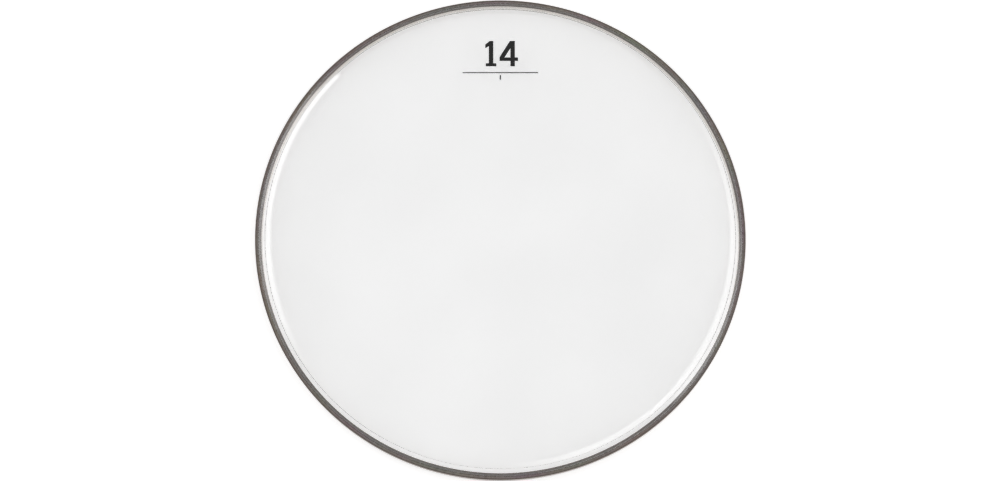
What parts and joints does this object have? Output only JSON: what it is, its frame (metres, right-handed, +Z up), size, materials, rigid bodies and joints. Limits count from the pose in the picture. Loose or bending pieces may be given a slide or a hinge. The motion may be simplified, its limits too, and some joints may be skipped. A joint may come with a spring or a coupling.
{
  "type": "drum head",
  "caption": "Clear two-ply drum head: flat polyester film with a formed collar, cast in resin into an aluminium channel hoop that fits round a drum shell.",
  "frame": {"origin": "on the head's axis, in the plane that the hoop's base stands on", "axes": "+Z up along the head's axis, out through the playing surface; +Y towards the printed edge; +X to the right of a player reading the print"},
  "size_m": [0.365, 0.365, 0.015],
  "materials": {
    "clear_film": "clear glossy biaxially stretched polyester film",
    "hoop_aluminium": "satin mill finish, pale warm grey, fine rolling grain along the strip, stained brown by resin along the lips",
    "cast_resin": "cast epoxy, brownish grey, satin, dished by its own surface tension"
  },
  "bodies": {
    "root": {"upper_ply": "clear_film", "lower_ply": "clear_film", "flesh_hoop": "hoop_aluminium", "resin_fill": "cast_resin"}
  },
  "joints": []
}
